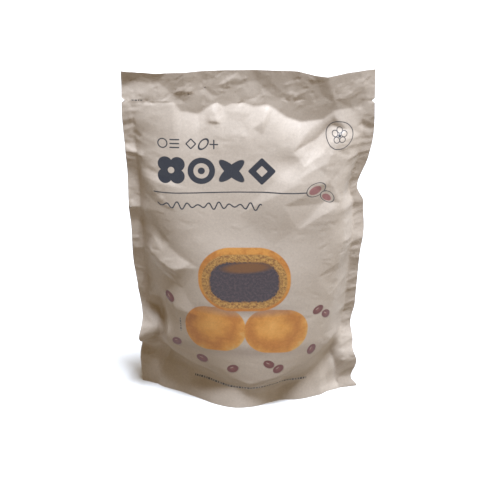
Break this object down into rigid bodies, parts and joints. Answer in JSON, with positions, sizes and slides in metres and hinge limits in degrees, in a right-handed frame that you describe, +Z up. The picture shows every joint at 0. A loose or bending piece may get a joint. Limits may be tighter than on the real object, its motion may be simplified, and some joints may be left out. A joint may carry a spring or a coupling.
{
  "type": "stand-up food pouch",
  "caption": "Filled kraft-paper stand-up pouch for baked buns, sealed down both sides and across the top, with tear notches and a bottom gusset that it stands on.",
  "frame": {"origin": "on the floor, below the middle of the pouch's bounding box", "axes": "+Z up along the height, +X to the right as seen from the printed front, and the printed front panel faces -Y"},
  "size_m": [0.2302, 0.0918, 0.326],
  "materials": {
    "kraft_film": "matt kraft-paper film with a faint sheen, printed with dark ink and simple shapes in golden brown and bean red"
  },
  "bodies": {
    "root": {"pouch": "kraft_film"}
  },
  "joints": []
}
